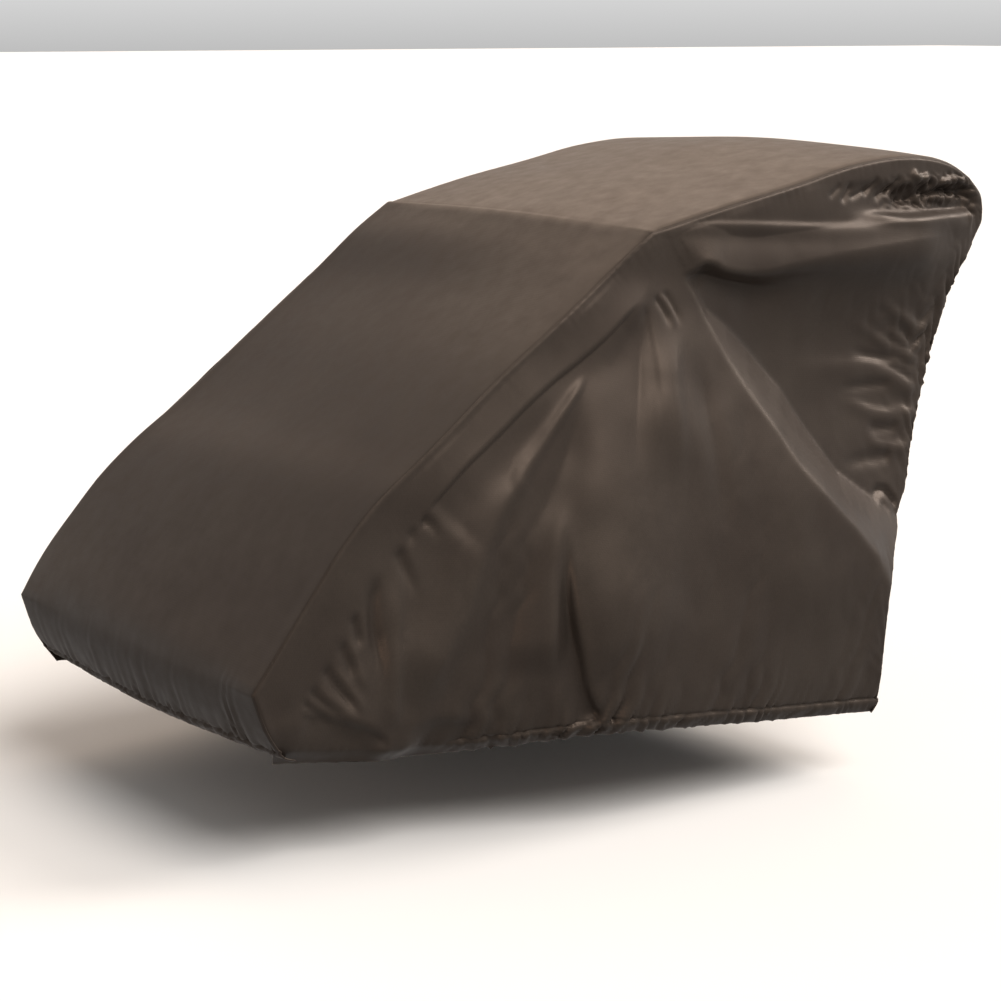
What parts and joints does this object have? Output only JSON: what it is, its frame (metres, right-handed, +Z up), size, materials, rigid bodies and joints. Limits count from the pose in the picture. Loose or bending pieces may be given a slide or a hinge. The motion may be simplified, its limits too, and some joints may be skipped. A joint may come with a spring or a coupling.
{
  "type": "bike trailer cover",
  "caption": "Fitted weather cover for a parked bike trailer: a sewn shell of coated cloth with a sloping front, flat roof, push-handle bulge and gathered elastic hem.",
  "frame": {"origin": "on the roof's underside at the middle plane, where the cover rests on top of the trailer it fits over, 150 mm behind that trailer's rear axle", "axes": "+X towards the back (the push-handle end), +Y towards the right side panel, +Z up; the pictured side is at -Y"},
  "size_m": [1.2422, 0.8775, 0.7653],
  "materials": {
    "cover_cloth": "satin coated woven polyester, dark taupe brown"
  },
  "bodies": {
    "root": {"centre_panel": "cover_cloth", "side_panel_left": "cover_cloth", "side_panel_right": "cover_cloth"}
  },
  "joints": []
}
